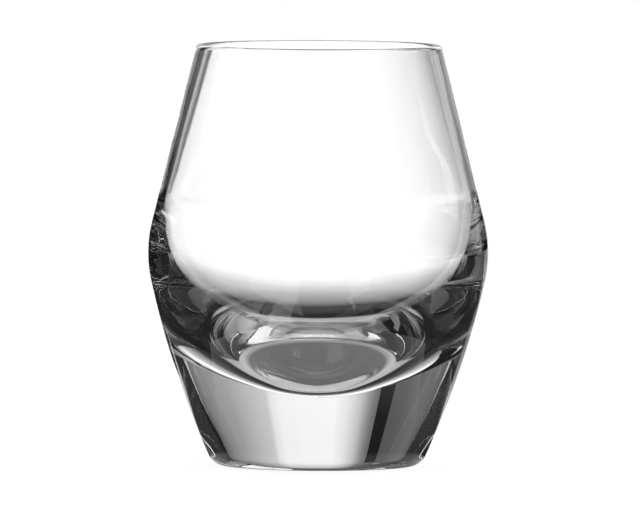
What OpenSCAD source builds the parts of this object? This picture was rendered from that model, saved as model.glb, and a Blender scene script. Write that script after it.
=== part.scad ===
// Rocks glass: a tulip-shaped bowl of clear glass on a thick solid base.
// The axis of the glass is Z, and it stands on Z = 0. Lengths are in millimetres, angles in degrees.

/* [Overall] */
// Height from the table to the top of the lip
glass_h = 105; // [95:0.5:120]
// Width across the outside of the lip
lip_d = 61.7; // [54:0.1:70]
// Width across the belly, the widest level of the glass
belly_d = 85; // [78:0.5:96]
// Height of the belly above the table
belly_z = 53.2; // [47:0.2:60]
// Width of the flat that stands on the table
foot_d = 46; // [36:0.5:56]

/* [Outer curves] */
// Radius of the belly, seen from the side
belly_round = 32; // [22:1:40]
// Radius of the long flank between the belly and the foot
flank_round = 225; // [130:5:400]
// Radius of the edge round the foot
foot_round = 4.5; // [2:0.1:8]

/* [Wall] */
// Thickness of the wall at the lip, which ends in a full round
lip_wall = 2.4; // [1.6:0.1:3.4]
// Thickness of the wall between the widest level outside and the widest level inside
belly_wall = 3.6; // [2.6:0.1:5]
// Thickness of the glass under the lowest point of the cavity
floor_t = 21.7; // [16:0.1:26]

/* [Cavity] */
// Height of the cavity's widest level above the belly
cavity_rise = 6.2; // [4:0.1:10]
// Radius of the cavity wall above its widest level
shoulder_round = 38; // [16:1:50]
// Radius of the cavity wall below its widest level
hip_round = 27.5; // [24:0.5:34]
// Radius of the long slope that runs down to the floor of the cavity
slope_round = 53; // [46:1:120]
// Radius of the floor of the cavity
floor_round = 24; // [16:0.5:32]

/* [Sections] */
// Height of the fire-polished lip ring
lip_h = 3; // [2:0.1:8]
// Thickness of the bowl's own floor, where the base is fused on
bowl_floor = 2.5; // [1:0.1:6]

/* [Hidden] */
clear_glass = [0.87, 0.91, 0.92, 0.45];
// Farthest that a chord of an outline may lie from its arc
chord_gap = 0.01;
turn_steps = 128;

lip_round = lip_wall / 2;
cavity_z = belly_z + cavity_rise;
cavity_r = belly_d / 2 - belly_wall;
lip_seam_z = glass_h - lip_h;
base_seam_z = floor_t - bowl_floor;

// Centres of the outline's arcs, as [distance from the axis, height]
lip_c = [lip_d / 2 - lip_round, glass_h - lip_round];
belly_c = [belly_d / 2 - belly_round, belly_z];
foot_c = [foot_d / 2, foot_round];
shoulder_c = [cavity_r - shoulder_round, cavity_z];
hip_c = [cavity_r - hip_round, cavity_z];
floor_c = [0, floor_t + floor_round];
flank_c = enclosing_centre(belly_c, belly_round, foot_c, foot_round, flank_round);
slope_c = enclosing_centre(hip_c, hip_round, floor_c, floor_round, slope_round);

// Angles at which one stretch of the outline hands over to the next
wall_lean = lean_of_tangent(belly_c, belly_round, lip_c, lip_round);
cavity_lean = lean_of_tangent(shoulder_c, shoulder_round, lip_c, -lip_round);
flank_top = bearing(belly_c - flank_c);
flank_foot = bearing(foot_c - flank_c);
slope_top = bearing(hip_c - slope_c);
slope_floor = bearing(floor_c - slope_c);

// Half outline of the whole glass: foot, flank, belly, lip, then down inside to the floor of the cavity.
// The straight walls are the tangents between the belly or the shoulder and the lip.
glass_outline = concat(
    [[0, 0]],
    arc(foot_c, foot_round, -90, flank_foot),
    arc(flank_c, flank_round, flank_foot, flank_top),
    arc(belly_c, belly_round, flank_top, wall_lean),
    arc(lip_c, lip_round, wall_lean, 180 + cavity_lean),
    arc(shoulder_c, shoulder_round, cavity_lean, 0),
    arc(hip_c, hip_round, 0, slope_top),
    arc(slope_c, slope_round, slope_top, slope_floor),
    arc(floor_c, floor_round, slope_floor, -90)
);

// Angle of a direction [x, y], measured from the X axis
function bearing(v) = atan2(v.y, v.x);

// Points along an arc, both ends included
function arc(centre, radius, from, to) =
    let (step = 2 * acos(1 - chord_gap / radius), count = max(2, ceil(abs(to - from) / step)))
    [for (i = [0 : count]) let (a = from + (to - from) * i / count) centre + radius * [cos(a), sin(a)]];

// Centre of an arc of the given radius that encloses two circles and touches both, upper circle first
function enclosing_centre(upper_c, upper_r, lower_c, lower_r, radius) =
    let (
        apart = norm(lower_c - upper_c),
        down = (lower_c - upper_c) / apart,
        reach = radius - upper_r,
        along = (reach ^ 2 - (radius - lower_r) ^ 2 + apart ^ 2) / (2 * apart),
        aside = sqrt(reach ^ 2 - along ^ 2)
    )
    upper_c + along * down + aside * [down.y, -down.x];

// Lean of the straight wall that touches two circles, lower circle first.
// A negative upper radius puts that circle on the wall's far side.
function lean_of_tangent(lower_c, lower_r, upper_c, upper_r) =
    bearing(upper_c - lower_c) - acos((lower_r - upper_r) / norm(upper_c - lower_c));

// The part of the glass between two heights
module section(low, high) {
    color(clear_glass)
    rotate_extrude($fn = turn_steps)
    intersection() {
        polygon(glass_outline);
        translate([0, low]) square([belly_d, high - low]);
    }
}

// Ring at the top of the wall, rounded by the flame
module lip() {
    section(lip_seam_z, glass_h);
}

// Wall of the glass with the whole cavity and its own floor
module bowl() {
    section(base_seam_z, lip_seam_z);
}

// Solid block under the bowl, with a flat foot
module base() {
    section(0, base_seam_z);
}

lip();
bowl();
base();
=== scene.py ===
# %% [markdown]
# A rocks glass in a bright-field studio
#
# The object is one drinking glass of clear, colourless glass: a thick solid base, a blown bowl and a lip that a flame
# has melted round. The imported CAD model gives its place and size, and this script gives it its looks.
# Clear glass has no colour of its own to paint. What the eye sees is the studio, bent through the walls and thrown
# about inside the base, so most of the likeness comes from a true shape and from well-placed white and black cards.

import math

import bpy
import numpy as np
from mathutils import Matrix


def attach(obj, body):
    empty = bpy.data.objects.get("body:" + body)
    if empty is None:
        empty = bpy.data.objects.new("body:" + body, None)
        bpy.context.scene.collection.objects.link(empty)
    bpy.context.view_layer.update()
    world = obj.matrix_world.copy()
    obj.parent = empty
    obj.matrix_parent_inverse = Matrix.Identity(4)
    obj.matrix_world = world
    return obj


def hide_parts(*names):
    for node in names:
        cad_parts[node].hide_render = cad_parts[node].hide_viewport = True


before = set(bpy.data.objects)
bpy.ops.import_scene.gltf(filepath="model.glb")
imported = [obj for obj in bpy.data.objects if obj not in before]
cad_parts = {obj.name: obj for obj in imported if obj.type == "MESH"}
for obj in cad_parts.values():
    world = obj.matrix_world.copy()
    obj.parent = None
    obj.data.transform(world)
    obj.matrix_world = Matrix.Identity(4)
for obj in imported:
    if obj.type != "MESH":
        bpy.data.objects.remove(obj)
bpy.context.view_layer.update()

# %% [markdown]
# The camera
#
# The photograph is almost level: at the lip the camera looks down by about two degrees, which the flat ellipse of the
# mouth shows. It stands far off with a long lens, so the near and far sides of the lip are almost equally wide.
# A tilted camera that is aimed at the middle of the glass needs no lens shift, so it also frames every other side.

# %% Camera
LENGTH = 0.001  # the sizes below are in millimetres, and Blender's are in metres
FRAME_WIDE = 159.6  # width that the picture spans at the glass
CAMERA_OFF = 4100  # from the axis of the glass, level
CAMERA_HIGH = 262
AIM = (0.5, 0, 52.5)  # the middle of the picture
ROLL = 0.27  # degrees about the line of sight: in the photograph the glass leans to the right by this much
SENSOR = 36  # millimetres, as in a full-frame camera

camera = bpy.data.objects.new("camera", bpy.data.cameras.new("camera"))
bpy.context.collection.objects.link(camera)
camera.location = np.array([AIM[0], -CAMERA_OFF, CAMERA_HIGH]) * LENGTH
drop = math.atan2(CAMERA_HIGH - AIM[2], CAMERA_OFF)
turn = Matrix.Rotation(math.pi / 2 - drop, 3, "X") @ Matrix.Rotation(math.radians(ROLL), 3, "Z")
camera.rotation_euler = turn.to_euler()
camera.data.sensor_width = SENSOR
camera.data.lens = SENSOR * math.hypot(CAMERA_OFF, CAMERA_HIGH - AIM[2]) / FRAME_WIDE
camera.data.clip_end = 20  # metres, well past the studio
bpy.context.scene.camera = camera
print(f"lens {camera.data.lens:.0f} mm, looking down {math.degrees(drop):.2f} degrees")

# %% [markdown]
# The outline
#
# A blown and turned glass is round, so one half outline says everything about its shape. It could be drawn by eye as a
# spline, but a maker works with radii, and so does the CAD model: the outline is a chain of arcs that touch each
# other, with straight walls where two arcs are joined by their common tangent. The sizes are the CAD model's own.

# %% Sizes of the glass in millimetres
GLASS_H, LIP_D, BELLY_D, BELLY_Z, FOOT_D = 105, 61.7, 85, 53.2, 46
BELLY_ROUND, FLANK_ROUND, FOOT_ROUND = 32, 225, 4.5
LIP_WALL, BELLY_WALL, FLOOR_T = 2.4, 3.6, 21.7
CAVITY_RISE, SHOULDER_ROUND, HIP_ROUND, SLOPE_ROUND, FLOOR_ROUND = 6.2, 38, 27.5, 53, 24
LIP_H, BOWL_FLOOR = 3, 2.5

LIP_SEAM = GLASS_H - LIP_H
BASE_SEAM = FLOOR_T - BOWL_FLOOR


# %% Arcs, and how they join
def arc(centre, radius, start, end, step=0.8):
    """Points on a circle: the centre plus the radius times (cosine, sine) of angles spread evenly from start to end."""
    count = max(3, math.ceil(abs(end - start) * abs(radius) / step) + 1)
    a = np.linspace(start, end, count)
    return np.asarray(centre) + radius * np.stack([np.cos(a), np.sin(a)], 1)


def line(start, end, step=0.8):
    """Points on a straight line, spread evenly from start to end, both included."""
    count = max(2, math.ceil(math.dist(start, end) / step) + 1)
    return np.linspace(start, end, count)


def bearing(v):
    """Angle of a direction, measured from the outward radius."""
    return math.atan2(v[1], v[0])


def enclosing_centre(upper_c, upper_r, lower_c, lower_r, radius):
    """Centre of a wide arc that two circles touch from inside: it lies at radius - upper_r from the one centre and at
    radius - lower_r from the other, on the side of the axis."""
    upper_c, lower_c = np.array(upper_c, float), np.array(lower_c, float)
    apart = np.linalg.norm(lower_c - upper_c)
    down = (lower_c - upper_c) / apart
    reach = radius - upper_r
    along = (reach ** 2 - (radius - lower_r) ** 2 + apart ** 2) / (2 * apart)
    aside = math.sqrt(reach ** 2 - along ** 2)
    return upper_c + along * down + aside * np.array([down[1], -down[0]])


def lean_of_tangent(lower_c, lower_r, upper_c, upper_r):
    """Angle at which a straight wall touches both circles: the bearing between their centres, less the arc cosine of
    the difference of their radii over the distance. A negative radius puts a circle on the wall's far side."""
    way = np.subtract(upper_c, lower_c)
    return bearing(way) - math.acos((lower_r - upper_r) / np.linalg.norm(way))


# %% The whole half outline
lip_r = LIP_WALL / 2
cavity_r, cavity_z = BELLY_D / 2 - BELLY_WALL, BELLY_Z + CAVITY_RISE
lip_c = (LIP_D / 2 - lip_r, GLASS_H - lip_r)
belly_c, foot_c = (BELLY_D / 2 - BELLY_ROUND, BELLY_Z), (FOOT_D / 2, FOOT_ROUND)
shoulder_c, hip_c = (cavity_r - SHOULDER_ROUND, cavity_z), (cavity_r - HIP_ROUND, cavity_z)
floor_c = (0, FLOOR_T + FLOOR_ROUND)
flank_c = enclosing_centre(belly_c, BELLY_ROUND, foot_c, FOOT_ROUND, FLANK_ROUND)
slope_c = enclosing_centre(hip_c, HIP_ROUND, floor_c, FLOOR_ROUND, SLOPE_ROUND)
wall_lean = lean_of_tangent(belly_c, BELLY_ROUND, lip_c, lip_r)
cavity_lean = lean_of_tangent(shoulder_c, SHOULDER_ROUND, lip_c, -lip_r)
flank_top, flank_foot = bearing(np.subtract(belly_c, flank_c)), bearing(np.subtract(foot_c, flank_c))
slope_top, slope_floor = bearing(np.subtract(hip_c, slope_c)), bearing(np.subtract(floor_c, slope_c))
right = math.pi / 2  # a right angle
SAME = 1e-6  # points that are as close as this, in millimetres, are one point


def chain(*runs):
    """One line of points from several that follow each other. A run's first point is left out where it repeats the
    last."""
    points = [runs[0]]
    for run in runs[1:]:
        again = np.linalg.norm(run[0] - points[-1][-1]) < SAME
        points.append(run[1:] if again else run)
    return np.concatenate(points)


foot_flat = line((0, 0), (FOOT_D / 2, 0), step=2)
foot_edge = arc(foot_c, FOOT_ROUND, -right, flank_foot, step=0.3)
flank = arc(flank_c, FLANK_ROUND, flank_foot, flank_top)
belly = arc(belly_c, BELLY_ROUND, flank_top, wall_lean)
lip_edge = arc(lip_c, lip_r, wall_lean, math.pi + cavity_lean, step=0.15)
outer_wall = line(belly[-1], lip_edge[0])
shoulder = arc(shoulder_c, SHOULDER_ROUND, cavity_lean, 0)
inner_wall = line(lip_edge[-1], shoulder[0])
hip = arc(hip_c, HIP_ROUND, 0, slope_top)
slope = arc(slope_c, SLOPE_ROUND, slope_top, slope_floor)
cavity_floor = arc(floor_c, FLOOR_ROUND, slope_floor, -right)

outside = chain(foot_flat, foot_edge, flank, belly, outer_wall, lip_edge[: len(lip_edge) // 2 + 1])
inside = chain(lip_edge[len(lip_edge) // 2:], inner_wall, shoulder, hip, slope, cavity_floor)
print(f"outline: {len(outside)} points outside, {len(inside)} inside; wall leans {math.degrees(wall_lean):.1f} degrees")

# %% [markdown]
# The three sections
#
# The lip, the bowl and the base are melted together, but each is made in its own way, so each is its own piece here.
# All three come from one outline, cut at the two heights where the sections meet. Every stretch of it is carried round
# the axis: a surface of two parameters, the place along the outline and the angle. The cut faces close each piece, and
# because the glass is fused there, nothing may be seen of them: they get a see-through material of their own.


# %% Cut the outline at a height
def between(points, low, high):
    """The stretch of a line of (radius, height) points between two heights, with new end points cut in by
    interpolation."""
    up = points if points[-1, 1] > points[0, 1] else points[::-1]
    rising = np.maximum.accumulate(up[:, 1])
    ends = [np.array([[np.interp(z, rising, up[:, 0]), z]]) for z in (low, high)]
    middle = up[(up[:, 1] > low + SAME) & (up[:, 1] < high - SAME)]
    stretch = [] if low <= up[0, 1] else [ends[0]]
    stretch.append(middle if low > up[0, 1] else up[up[:, 1] < high - SAME])
    if high < up[-1, 1]:
        stretch.append(ends[1])
    else:
        stretch.append(up[up[:, 1] >= high - SAME])
    stretch = np.concatenate(stretch)
    return stretch if points[-1, 1] > points[0, 1] else stretch[::-1]


below, top = -1, GLASS_H + 1  # heights just past both ends of the glass
base_outside = between(outside, below, BASE_SEAM)
bowl_outside = between(outside, BASE_SEAM, LIP_SEAM)
lip_outside = between(outside, LIP_SEAM, top)
lip_inside = between(inside, LIP_SEAM, top)
bowl_inside = between(inside, 0, LIP_SEAM)
print("points:", [len(p) for p in (base_outside, bowl_outside, lip_outside, lip_inside, bowl_inside)])

# %% [markdown]
# Turning an outline into a closed mesh
#
# A Screw modifier could turn an outline too. Here the grid is worked out directly, because glass needs exact control:
# fine and even faces for smooth refraction, one point at each pole, and sharp edges only round the fused faces.

# %% Turn a closed outline round the axis
AROUND = 320  # steps round the axis, under a millimetre each at the belly


def turned(name, stretches):
    """A closed surface of revolution. Each stretch is a line of (radius, height) points with the number of its
    material; together they go round the section, counterclockwise. A point at radius r, height z and angle a lies at
    (r cos a, r sin a, z). A point on the axis is one vertex, and the faces there are triangles."""
    points = chain(*[p for p, _ in stretches])
    kinds = np.concatenate([np.full(len(p) - 1, kind) for p, kind in stretches])
    ring = np.linalg.norm(points[0] - points[-1]) < SAME  # a ring closes on itself, the others end on the axis
    rows = points[:-1] if ring else points
    n = len(rows)
    a = np.linspace(0, 2 * math.pi, AROUND, endpoint=False)
    on_axis = np.abs(rows[:, 0]) < SAME
    start = np.concatenate([[0], np.cumsum(np.where(on_axis, 1, AROUND))])
    across, along = np.outer(rows[:, 0], np.cos(a)), np.outer(rows[:, 0], np.sin(a))
    grid = np.stack([across, along, np.repeat(rows[:, 1:], AROUND, 1)], 2)
    keep = ~on_axis[:, None] | (np.arange(AROUND) == 0)[None]
    index = np.where(on_axis[:, None], start[:n, None], start[:n, None] + np.arange(AROUND))
    low, high = index, np.roll(index, -1, 0)
    if not ring:
        low, high = index[:-1], index[1:]
    quads = np.stack([low, np.roll(low, -1, 1), np.roll(high, -1, 1), high], 2)
    first, last = int(on_axis[0]), len(quads) - int(on_axis[-1])  # a strip at a pole is of triangles
    faces = quads[:first, :, [0, 2, 3]].reshape(-1, 3).tolist()
    faces += quads[first:last].reshape(-1, 4).tolist()
    faces += quads[last:, :, :3].reshape(-1, 3).tolist()
    kind_of = np.repeat(kinds, AROUND)

    mesh = bpy.data.meshes.new(name)
    mesh.from_pydata(grid[keep] * LENGTH, [], faces)
    mesh.polygons.foreach_set("material_index", kind_of.astype(np.int32))
    mesh.polygons.foreach_set("use_smooth", np.ones(len(faces), bool))

    # An edge is sharp where a fused face meets the free surface
    corners = np.zeros(len(mesh.loops), np.int32)
    mesh.loops.foreach_get("edge_index", corners)
    sizes = np.zeros(len(faces), np.int32)
    mesh.polygons.foreach_get("loop_total", sizes)
    touch = np.zeros((len(mesh.edges), 2), bool)
    touch[corners, np.repeat(kind_of, sizes)] = True
    mesh.attributes.new("sharp_edge", "BOOLEAN", "EDGE").data.foreach_set("value", touch.all(1))
    mesh.update()

    piece = bpy.data.objects.new(name, mesh)
    bpy.context.collection.objects.link(piece)
    print(f"{name}: {len(mesh.vertices)} vertices, {len(faces)} faces, {int(touch.all(1).sum())} sharp edges")
    return piece


# %% Make the pieces
FREE, FUSED = 0, 1  # numbers of the two materials
RING = 4  # millimetres between rings on a fused face, which is flat and needs few
base_top = base_outside[-1]
lip_foot_out, lip_foot_in = lip_outside[0], lip_inside[-1]

glass_base = turned("glass_base", [(base_outside, FREE), (line(base_top, (0, BASE_SEAM), RING), FUSED)])
glass_bowl = turned("glass_bowl", [
    (line((0, BASE_SEAM), bowl_outside[0], RING), FUSED),
    (bowl_outside, FREE),
    (line(bowl_outside[-1], bowl_inside[0], RING), FUSED),
    (bowl_inside, FREE),
])
glass_lip = turned("glass_lip", [
    (lip_outside, FREE),
    (lip_inside, FREE),
    (line(lip_foot_in, lip_foot_out, RING), FUSED),
])

# %% [markdown]
# The glass
#
# Soda-lime table glass, formed hot in a mould and then fire-polished: a flame melts the skin, so it is smoother than
# any polish. It bends light with an index of refraction of about 1.5, which sets how wide the dark edges are.
# Two things keep it from looking like a drawing. As the skin flows it stays a little wavy, by hundredths of a
# millimetre over several millimetres, and that makes the edges of the dark bands waver. And the foot, which is set down
# on hard tables, has a ring of fine scuffs.


# %% A node with its settings and links, and colours from hex
def add_node(tree, kind, links=None, **settings):
    """Adds one node. Plain settings are set by name, on the node or on its sockets, and links join inputs to
    outputs."""
    node = tree.nodes.new(kind)
    for key, value in settings.items():
        if hasattr(node, key):
            setattr(node, key, value)
        else:
            node.inputs[key.replace("_", " ")].default_value = value
    for key, output in (links or {}).items():
        tree.links.new(node.inputs[key], output)
    return node


def linear(hexes):
    """sRGB hex to linear red, green, blue and alpha: each channel over 255, then the sRGB curve undone."""
    c = np.array([int(hexes[i:i + 2], 16) for i in (1, 3, 5)]) / 255
    c = np.where(c <= 0.04045, c / 12.92, ((c + 0.055) / 1.055) ** 2.4)
    return (*c.tolist(), 1.0)


WHITE = linear("#FFFFFF")


def new_material(name):
    """An empty node material."""
    material = bpy.data.materials.new(name)
    material.use_nodes = True
    material.node_tree.nodes.clear()
    return material


# %% Clear glass
RIPPLE = 0.03 * LENGTH  # height of the waves in the skin
RIPPLE_WIDE = 9 * LENGTH  # from one wave to the next
RIM, RIM_HALF = 21.5 * LENGTH, 2.5 * LENGTH  # the scuffed ring of the foot: its middle, and half its width
SCUFF = 0.8 * LENGTH  # from one scuff to the next, coarser than real ones so that they show
SCUFF_ROUGH = 0.2  # roughness of the deepest scuffs

fire_polished_glass = new_material("fire_polished_soda_lime_glass")
tree = fire_polished_glass.node_tree
place = add_node(tree, "ShaderNodeTexCoord")
# gentle waves: reflections and the edges of dark bands waver, and flat parts stay clear
waves = add_node(
    tree, "ShaderNodeTexNoise", {"Vector": place.outputs["Object"]}, Scale=1 / RIPPLE_WIDE, Detail=1.0, Roughness=0.4)
ripple = add_node(tree, "ShaderNodeBump", {"Height": waves.outputs["Fac"]}, Strength=1.0, Distance=RIPPLE)
# fine scuffs dull the rim of the foot to a soft grey. So near the table, the distance from the origin is nearly the
# distance from the axis.
spread = add_node(tree, "ShaderNodeVectorMath", {0: place.outputs["Object"]}, operation="LENGTH")
rim = add_node(tree, "ShaderNodeMath", {0: spread.outputs["Value"]}, operation="COMPARE")
rim.inputs[1].default_value, rim.inputs[2].default_value = RIM, RIM_HALF
scuffs = add_node(tree, "ShaderNodeTexNoise", {"Vector": place.outputs["Object"]}, Scale=1 / SCUFF, Detail=3.0)
scuffed = add_node(tree, "ShaderNodeMath", {0: rim.outputs["Value"], 1: scuffs.outputs["Fac"]}, operation="MULTIPLY")
dull = add_node(tree, "ShaderNodeMath", {0: scuffed.outputs["Value"]}, operation="MULTIPLY")
dull.inputs[1].default_value = SCUFF_ROUGH
shader = add_node(
    tree, "ShaderNodeBsdfPrincipled", {"Roughness": dull.outputs["Value"], "Normal": ripple.outputs["Normal"]},
    Base_Color=WHITE, IOR=1.5, Transmission_Weight=1.0)
add_node(tree, "ShaderNodeOutputMaterial", {"Surface": shader.outputs["BSDF"]})
print(f"ripple {RIPPLE / LENGTH:.3f} mm high, {RIPPLE_WIDE / LENGTH:.0f} mm from wave to wave")

# %% Fused joints, and which piece stands for which node
# glass that is melted together has no surface there, so nothing shows
fused_joint = new_material("fused_glass_joint")
tree = fused_joint.node_tree
clear = add_node(tree, "ShaderNodeBsdfTransparent", Color=WHITE)
add_node(tree, "ShaderNodeOutputMaterial", {"Surface": clear.outputs["BSDF"]})

for piece, node in ((glass_base, "base"), (glass_bowl, "bowl"), (glass_lip, "lip")):
    piece.data.materials.append(fire_polished_glass)
    piece.data.materials.append(fused_joint)
    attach(piece, "root")
    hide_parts(node)
    print(f"{piece.name} stands for {node}")

# %% [markdown]
# The studio
#
# Clear glass is photographed on a bright field: a white field stands behind it and everything else is dark, so that the
# rim of the glass, which bends light in from the sides, draws itself in black on white.
# The field is the world itself, white wherever nothing stands in front of it. Drapes and walls are cards that only the
# glass sees: they are hidden from the camera, so the picture's own background stays white. One card could carry a
# picture of a studio, but plain cards with a level each are easier to understand and to move.

# %% Cards that only the glass sees
BRIGHT = 1.2  # a white field as the glass shows it: a little over white, since the walls of the glass take some of it
BLACK = 0.012  # black cloth


def card_material(name, clear_for=None):
    """A card that glows by its own level, written on its points as the attribute level. clear_for(tree) gives a socket
    that is 1 for the rays that pass through the card as if it weren't there."""
    material = new_material(name)
    tree = material.node_tree
    level = add_node(tree, "ShaderNodeAttribute", attribute_name="level")
    glow = add_node(tree, "ShaderNodeEmission", {"Strength": level.outputs["Fac"]}, Color=WHITE)
    surface = glow.outputs["Emission"]
    if clear_for:
        clear = add_node(tree, "ShaderNodeBsdfTransparent", Color=WHITE)
        both = add_node(tree, "ShaderNodeMixShader", {0: clear_for(tree), 1: surface, 2: clear.outputs["BSDF"]})
        surface = both.outputs["Shader"]
    add_node(tree, "ShaderNodeOutputMaterial", {"Surface": surface})
    return material


def straight_through(tree):
    """1 for a ray that the glass has bent but not yet reflected."""
    path = add_node(tree, "ShaderNodeLightPath")
    unreflected = add_node(tree, "ShaderNodeMath", {0: path.outputs["Glossy Depth"]}, operation="LESS_THAN")
    unreflected.inputs[1].default_value = 0.5  # the count of reflections is still 0
    return unreflected.outputs["Value"]


def straight_or_behind(tree):
    """1 for such a ray, and for any ray that meets the card from its back."""
    side = add_node(tree, "ShaderNodeNewGeometry")
    either = {0: straight_through(tree), 1: side.outputs["Backfacing"]}
    return add_node(tree, "ShaderNodeMath", either, operation="MAXIMUM").outputs["Value"]


studio_card = card_material("studio_card")
side_card = card_material("side_card", straight_through)
one_sided_card = card_material("one_sided_card", straight_or_behind)
print("cards:", [card.name for card in (studio_card, side_card, one_sided_card)])


# %% A sheet with a level on each point
def grid_object(name, points, levels, material):
    """A sheet from a grid of points, rows by columns by 3, in metres, with a brightness level on each point."""
    rows, columns = points.shape[:2]
    index = np.arange(rows * columns).reshape(rows, columns)
    faces = np.stack([index[:-1, :-1], index[:-1, 1:], index[1:, 1:], index[1:, :-1]], 2).reshape(-1, 4)
    mesh = bpy.data.meshes.new(name)
    mesh.from_pydata(points.reshape(-1, 3), [], faces.tolist())
    values = np.broadcast_to(levels, points.shape[:2]).astype(np.float32).ravel()
    mesh.attributes.new("level", "FLOAT", "POINT").data.foreach_set("value", values)
    mesh.materials.append(material)
    sheet = bpy.data.objects.new(name, mesh)
    bpy.context.collection.objects.link(sheet)
    sheet.visible_camera = sheet.visible_diffuse = sheet.visible_shadow = False
    print(f"{name}: level {values.min():.2f} to {values.max():.2f}")
    return sheet


# %% A card bent round the glass
MIDDLE = 50 * LENGTH  # elevations are measured from this height, about the middle of the glass


def curved_card(name, away, sideways, upward, material=studio_card):
    """A card bent round the glass, so many metres away. At azimuth a, from the far side towards the right, and
    elevation e, a point lies at (away sin a, away cos a, away tan e) from the middle of the glass. sideways and upward
    map degrees to levels, which are interpolated and multiplied."""
    a = np.arange(min(sideways), max(sideways) + 0.25, 0.5)
    e = np.arange(min(upward), max(upward) + 0.5, 1.0)
    across = np.interp(a, list(sideways), list(sideways.values()))
    up = np.interp(e, list(upward), list(upward.values()))
    a, e = np.meshgrid(np.radians(a), np.radians(e))
    points = away * np.stack([np.sin(a), np.cos(a), np.tan(e)], 2) + (0, 0, MIDDLE)
    return grid_object(name, points, np.outer(up, across), material)


# %% [markdown]
# Drapes, softboxes and fill cards
#
# Light that goes straight through the walls shows what stands behind the glass. Light that is reflected inside the base
# comes from nearly everywhere: from above, from the sides and from behind the camera. So black cloth hangs round the
# glass, two softboxes hang under a dark ceiling, and grey cards fill in what is left.
# Most of these are side cards: a ray that the glass has only bent passes through them, and one that it has reflected
# stops there. No real card can do that, and a photographer would move the cards for each view instead. Here it leaves
# the glass clear from every other side, where the same card would stand right behind it.

# %% Drape, ceiling and overhead softboxes
curved_card("black_drape", 1.8, {60: BLACK, 300: BLACK}, {-0.8: 1, 53: 1}, side_card)


def flat_card(name, xs, ys, high, level):
    """A level card: its corners are at the given x and y, and at one height, in metres."""
    x, y = np.meshgrid(xs, ys)
    return grid_object(name, np.stack([x, y, np.full_like(x, high)], 2), level, studio_card)


flat_card("dark_ceiling", (-2.6, 2.6), (-2.6, 2.6), 2.3, 0.06)
flat_card("softbox_right", (0.3, 1.15), (-0.45, 0.85), 1.5, BRIGHT)
flat_card("softbox_left", (-0.85, -0.5), (-0.1, 0.4), 1.5, BRIGHT)

# %% Fill cards for reflected light
curved_card("fill_right", 1.3, {58: 0.34, 84: 0.3, 90: 0.2, 104: 0.12}, {0: 0.8, 26: 1, 36: 1.6, 46: 1.7}, side_card)
curved_card("fill_behind", 1.3, {164: 0.55, 196: 0.55}, {25: 1, 46: 0.7}, side_card)
curved_card("fill_left_high", 1.3, {-38: 0.45, -12: 0.45}, {26: 1, 56: 1}, side_card)
curved_card("fill_middle", 1.3, {-12: 0.48, 12: 0.55}, {3: 1.1, 38: 1}, side_card)
curved_card("fill_right_low", 1.3, {34: 0.6, 48: 0.45, 60: 0.35}, {-4: 1, 14: 1}, side_card)

# %% [markdown]
# The backdrop and the walls
#
# These stand behind the glass and are seen straight through it: squeezed together at the edges of the bowl, and with
# left and right changed over in the solid base, which is a thick lens. The backdrop is bright in the middle and falls
# off to both sides, and that shades the walls of the glass from white to black. A light could be aimed to make it, but
# a level written on each card is steadier. The levels were found by trial: the rays of the picture were traced to the
# places where they leave the glass, and the cards were set there until the dark bands came near the photograph's.
# Where this view needs only a part of a card, the rest of it is a side card.

# %% Backdrop and walls
BACKDROP = {
    -26: 0.1, -18: 0.18, -16.4: 0.27, -14.8: 0.40, -13.3: 0.57, -9: 0.86, -5: 1,
    11: 0.98, 14: 0.85, 15.5: 0.64, 22: 0.53, 31: 0.39, 45: 0.31, 62: 0.28,
}
LEFT_WALL = {-62: 0.19, -42: 0.18, -30: 0.11, -24: 0.10}
curved_card("backdrop", 1.7, BACKDROP, {8: 1.05, 15: 1, 28: 0.95, 36: 0.75, 53: 0.5})
curved_card("left_wall", 1.68, LEFT_WALL, {12: 1, 36: 1})
curved_card("left_wall_bottom", 1.68, LEFT_WALL, {-3: 1, 12: 1}, side_card)
curved_card("left_wall_top", 1.68, LEFT_WALL, {36: 1, 53: 1}, side_card)
curved_card("left_wall_low", 1.58, {-34: 0.12, -30: 0.08, -27: 0.04, -24: 0.04}, {3: 1, 9: 1}, side_card)

# %% Low walls and the black strip, which draw the edges of the bowl
RIGHT_WALL = {
    2: 1.22, 4: 1.08, 5: 1.0, 7: 0.93, 8: 0.88, 12: 0.66, 15: 0.45, 18: 0.33,
    20: 0.22, 24: 0.1, 28: 0.2, 31: 0.34, 45: 0.36, 62: 0.3,
}
LEFT_EDGE = {
    -21.5: 0.3, -20: 0.52, -17.6: 0.52, -16.2: 0.2, -15: 0.06, -14: 0.05,
    -13.2: 0.25, -12.6: 0.8, -12: 1.35, -7: 1.35, -3: 1.2,
}
BLACK_STRIP = {-24.6: BLACK, -19: BLACK}
curved_card("right_wall", 1.66, RIGHT_WALL, {-3: 1, 8: 1})
curved_card("left_edge", 1.62, LEFT_EDGE, {-3: 1, 8: 1})
curved_card("black_strip", 1.55, BLACK_STRIP, {12: 1, 29: 1})
curved_card("black_strip_bottom", 1.55, BLACK_STRIP, {-3: 1, 12: 1}, side_card)
curved_card("black_strip_low", 1.5, {-52: BLACK, -20.5: BLACK}, {-3: 1, 6: 1}, side_card)

# %% [markdown]
# The table
#
# A plain white table top. To the camera it is white up to the foot, with a faint shadow, as in the photograph. The rays
# in the glass meet it close to the foot, where a real table lies in the shade of the glass. That shade isn't traced
# here: it is painted as rings about the axis, with levels found by trial, and only rays from the glass see it. Bent
# through the base, the rings draw the dark line under the cavity.

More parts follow.
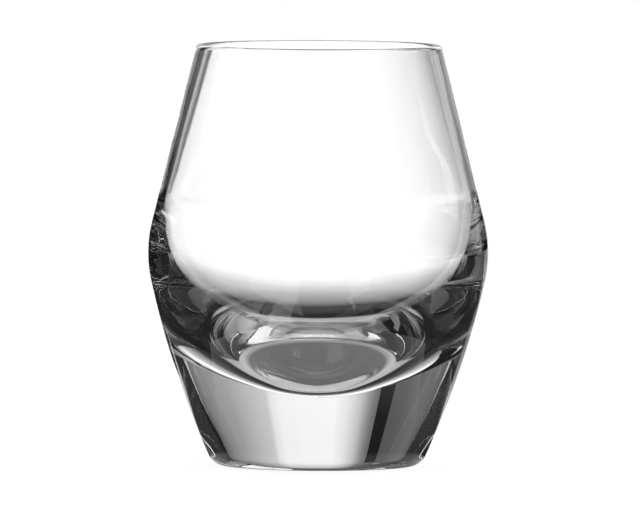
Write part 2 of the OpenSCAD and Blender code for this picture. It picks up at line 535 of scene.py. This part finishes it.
# %% Shade on the table
SHADE_REACH = 120  # millimetres from the axis, past which the table is plain white
SHADE = {
    24: 0.11, 26.5: 0.45, 30.5: 0.4, 32.2: 0.01, 36: 0.01, 43: 0.05, 47: 0.05, 52: 0.21,
    56: 0.29, 62: 0.38, 70: 0.46, 78: 0.58, 85: 0.66, 90: 0.77, 98: 0.9, 105: 1,
}

floor_paint = new_material("white_table_top")
tree = floor_paint.node_tree
place = add_node(tree, "ShaderNodeTexCoord")
spread = add_node(tree, "ShaderNodeVectorMath", {0: place.outputs["Object"]}, operation="LENGTH")
reach = add_node(tree, "ShaderNodeMath", {0: spread.outputs["Value"]}, operation="DIVIDE")
reach.inputs[1].default_value = SHADE_REACH * LENGTH
shade = add_node(tree, "ShaderNodeValToRGB", {"Fac": reach.outputs["Value"]})
ramp = shade.color_ramp.elements
ramp.remove(ramp[0])
ramp[0].position, ramp[0].color = 1, WHITE
for radius, level in SHADE.items():
    ramp.new(radius / SHADE_REACH).color = (level, level, level, 1)
print("shade of the table:", [(round(s.position * SHADE_REACH, 1), round(s.color[0], 2)) for s in ramp])

# %% Floor
TABLE_WHITE = 1.08  # with the matt share below, this makes the table as white as the field
TABLE_MATT = 0.12  # share of the table's look that takes shadows
TABLE_Z = -0.2 * LENGTH  # a hair under the foot, so that two faces never lie in one place

seen = add_node(tree, "ShaderNodeLightPath")
glow = add_node(tree, "ShaderNodeEmission", {"Color": shade.outputs["Color"]}, Strength=BRIGHT)
white = add_node(tree, "ShaderNodeEmission", Color=WHITE, Strength=TABLE_WHITE)
matt = add_node(tree, "ShaderNodeBsdfDiffuse", Color=linear("#F4F4F4"))
direct = add_node(tree, "ShaderNodeMixShader", {1: white.outputs["Emission"], 2: matt.outputs["BSDF"]}, Fac=TABLE_MATT)
from_glass = {0: seen.outputs["Is Glossy Ray"], 1: seen.outputs["Is Transmission Ray"]}
through = add_node(tree, "ShaderNodeMath", from_glass, operation="MAXIMUM")
first = add_node(tree, "ShaderNodeMixShader", {
    0: through.outputs["Value"], 1: matt.outputs["BSDF"], 2: glow.outputs["Emission"]})
last = add_node(tree, "ShaderNodeMixShader", {
    0: seen.outputs["Is Camera Ray"], 1: first.outputs["Shader"], 2: direct.outputs["Shader"]})
add_node(tree, "ShaderNodeOutputMaterial", {"Surface": last.outputs["Shader"]})

x, y = np.meshgrid(np.linspace(-3, 3, 3), np.linspace(-3, 3, 3))
floor = grid_object("floor", np.stack([x, y, np.full_like(x, TABLE_Z)], 2), 1, floor_paint)
floor.visible_camera = floor.visible_diffuse = floor.visible_shadow = True

# %% [markdown]
# Cloth, paper, fins and painted shade on the table
#
# Close to the glass lie strips of white, grey and black, just as a photographer lays them out of the picture's sight to
# draw the base of a glass. Each is a sheet ruled between two edges, or a bent profile carried along an arc. The fins
# stand on edge and split what the two halves of the base see. The grey and dark patches right by the foot are painted
# shade on the table, which only reflected light sees.


# %% Sheets that lie on the table
def laid_cloth(name, one_edge, other_edge, levels=(BLACK, BLACK), high=0.3, material=studio_card):
    """Cloth ruled between two edges, each a line of (x, y) points with a level, so high over the table. Sizes are in
    millimetres."""
    edges = np.stack([one_edge, other_edge]).astype(float)
    return grid_object(name, np.insert(edges, 2, high, axis=2) * LENGTH, np.array(levels)[:, None], material)


def bent_paper(name, profile, azimuths, level):
    """Paper laid round the glass, for reflected light alone: a profile of (distance, height) in millimetres, carried
    along an arc about the axis."""
    out, up = np.array(profile, float).T[:, :, None]
    a = np.radians(np.linspace(*azimuths, 60))
    points = np.stack(np.broadcast_arrays(out * np.sin(a), out * np.cos(a), up), 2) * LENGTH
    return grid_object(name, points, level, side_card)


# %% White and grey cloth behind the glass
near_edge = [(38, 90), (38, 300), (50, 1400), (58, 1640)]
middle_edge = [(76, 90), (76, 300), (330, 1400), (387, 1640)]
far_edge = [(135, 90), (135, 300), (700, 1400), (820, 1640)]
laid_cloth(
    "white_left", [(-38, 90), (-38, 300), (-50, 1400)], [(-76, 118), (-76, 300), (-330, 1400)], (BRIGHT, 1.5), 0.25)
laid_cloth("grey_right", near_edge, middle_edge, (BRIGHT, 0.6))
laid_cloth("grey_right_far", middle_edge, far_edge, (0.6, 0.2))

# %% Black cloth at both sides
laid_cloth(
    "cloth_right",
    [(118, -60), (76, 40), (76, 90), (135, 90), (135, 300), (250, 470), (700, 1400)],
    [(1400, -560), (1400, 0), (1400, 90), (1400, 90), (1400, 500), (1400, 900), (1400, 1400)], material=side_card)
laid_cloth(
    "cloth_left",
    [(-76, 118), (-76, 300), (-115, 470), (-330, 1400)],
    [(-77, 119), (-190, 300), (-300, 470), (-1400, 1400)], material=side_card)
laid_cloth(
    "cloth_left_far",
    [(-135, 234), (-191, 191), (-234, 135), (-261, 70)],
    [(-750, 1299), (-1061, 1061), (-1299, 750), (-1449, 388)], material=side_card)

# %% Low flags, and patches of painted shade close to the foot
curved_card("side_flag_right", 1.4, {13: BLACK, 62: BLACK}, {-3: 1, 3: 1}, side_card)
curved_card("side_flag_left", 1.4, {-62: BLACK, -13: BLACK}, {-3: 1, 3: 1}, side_card)
curved_card("front_drape", 1.7, {148: BLACK, 212: BLACK}, {-2.5: 1, 3: 1}, side_card)
LOW_FLAG = [(36, 0.2), (118, 0.2), (118, 28)]
bent_paper("low_flag_left", LOW_FLAG, (-102, -42), 0.03)
bent_paper("low_flag_right", LOW_FLAG, (42, 102), 0.03)
# the grey patches and the dark patches below are painted shade on the table close to the foot, seen only in reflected
# light
laid_cloth("painted_shade_grey_left", [(-58, 60), (-70, 46)], [(-75, 78), (-91, 59)], (0.35, 0.35), 0.4, side_card)
laid_cloth("painted_shade_grey_right", [(58, 60), (70, 46)], [(75, 78), (91, 59)], (0.4, 0.4), 0.4, side_card)
laid_cloth(
    "painted_shade_dark_left",
    [(-14, 43), (-44, 46), (-80, 46)], [(-14, 52), (-44, 60), (-80, 64)], (0.05, 0.05), 0.45, side_card)
laid_cloth(
    "painted_shade_dark_right",
    [(14, 43), (44, 46), (80, 46)], [(14, 52), (44, 60), (80, 64)], (0.15, 0.15), 0.45, side_card)

# %% Wide dark cloth in front and at the sides
SIDE_CLOTH = [(118, 0.35), (1600, 0.35)]
bent_paper("cloth_near_front", [(95, 0.35), (1600, 0.35)], (102, 258), 0.03)
bent_paper("cloth_sides_left", SIDE_CLOTH, (-102, -62), 0.12)
bent_paper("cloth_sides_right", SIDE_CLOTH, (62, 102), 0.12)


# %% Fins
def fin(name, level, points):
    """A strip of card that stands on its edge on the table, dark on one side. Each point is (x, y, height) in
    millimetres, and the dark side is on the right of the line from the first to the last."""
    top = np.array(points, float) * LENGTH
    return grid_object(name, np.stack([top * (1, 1, 0), top]), level, one_sided_card)


fin("fin_middle", BLACK, [(0, 50, 22), (0, 66, 22)])
fin("fin_right", 0.12, [(36, 85, 13), (20, 36, 13)])
fin("fin_left", 0.12, [(-20, 36, 13), (-36, 85, 13)])

# %% [markdown]
# The white field and the lamp
#
# The world is the bright field. Its strength is 1, plain white, where the camera sees it, a little over that in the
# glass, and lower for the light that falls on the table. One softbox overhead adds the soft shadow under the foot. The
# glass doesn't show that lamp, because the softboxes above are cards already.

# %% World
FIELD_LIGHT = 0.6  # strength of the field for the light that falls on the table

world = bpy.data.worlds.new("white_field")
world.use_nodes = True
bpy.context.scene.world = world
tree = world.node_tree
tree.nodes.clear()
seen = add_node(tree, "ShaderNodeLightPath")
from_glass = {0: seen.outputs["Is Glossy Ray"], 1: seen.outputs["Is Transmission Ray"]}
through = add_node(tree, "ShaderNodeMath", from_glass, operation="MAXIMUM")
brighter = add_node(tree, "ShaderNodeMath", {0: through.outputs["Value"]}, operation="MULTIPLY_ADD")
brighter.inputs[1].default_value = BRIGHT - FIELD_LIGHT
brighter.inputs[2].default_value = FIELD_LIGHT
strongest = {0: brighter.outputs["Value"], 1: seen.outputs["Is Camera Ray"]}
level = add_node(tree, "ShaderNodeMath", strongest, operation="MAXIMUM")
field = add_node(tree, "ShaderNodeBackground", {"Strength": level.outputs["Value"]}, Color=WHITE)
add_node(tree, "ShaderNodeOutputWorld", {"Surface": field.outputs["Background"]})
print(f"field: 1 to the camera, {BRIGHT} in the glass, {FIELD_LIGHT} as light")

# %% Lamp
softbox = bpy.data.lights.new("overhead_softbox", "AREA")
softbox.shape, softbox.size, softbox.size_y = "RECTANGLE", 0.8, 0.6  # metres
softbox.energy = 6
lamp = bpy.data.objects.new("overhead_softbox", softbox)
lamp.location = (0, 0.1, 1.2)
lamp.visible_glossy = lamp.visible_transmission = False
bpy.context.collection.objects.link(lamp)
print(f"lamp of {softbox.energy:.0f} W, {lamp.location.z:.1f} m over the table")

# %% [markdown]
# Light in thick glass
#
# In the base a ray may be reflected many times before it leaves, and a ray that is cut short turns black, so many
# bounces are allowed. The bright specks that glass throws on a table are left off: they take very long to render
# cleanly, and on a white table they hardly show.

# %% Render settings
BOUNCES = 32

scene = bpy.context.scene
scene.view_settings.view_transform = "Standard"
cycles = scene.cycles
cycles.max_bounces = cycles.glossy_bounces = BOUNCES
cycles.transmission_bounces = cycles.transparent_max_bounces = BOUNCES
cycles.caustics_reflective = cycles.caustics_refractive = False
print(f"up to {cycles.max_bounces} bounces, denoising {cycles.use_denoising}")
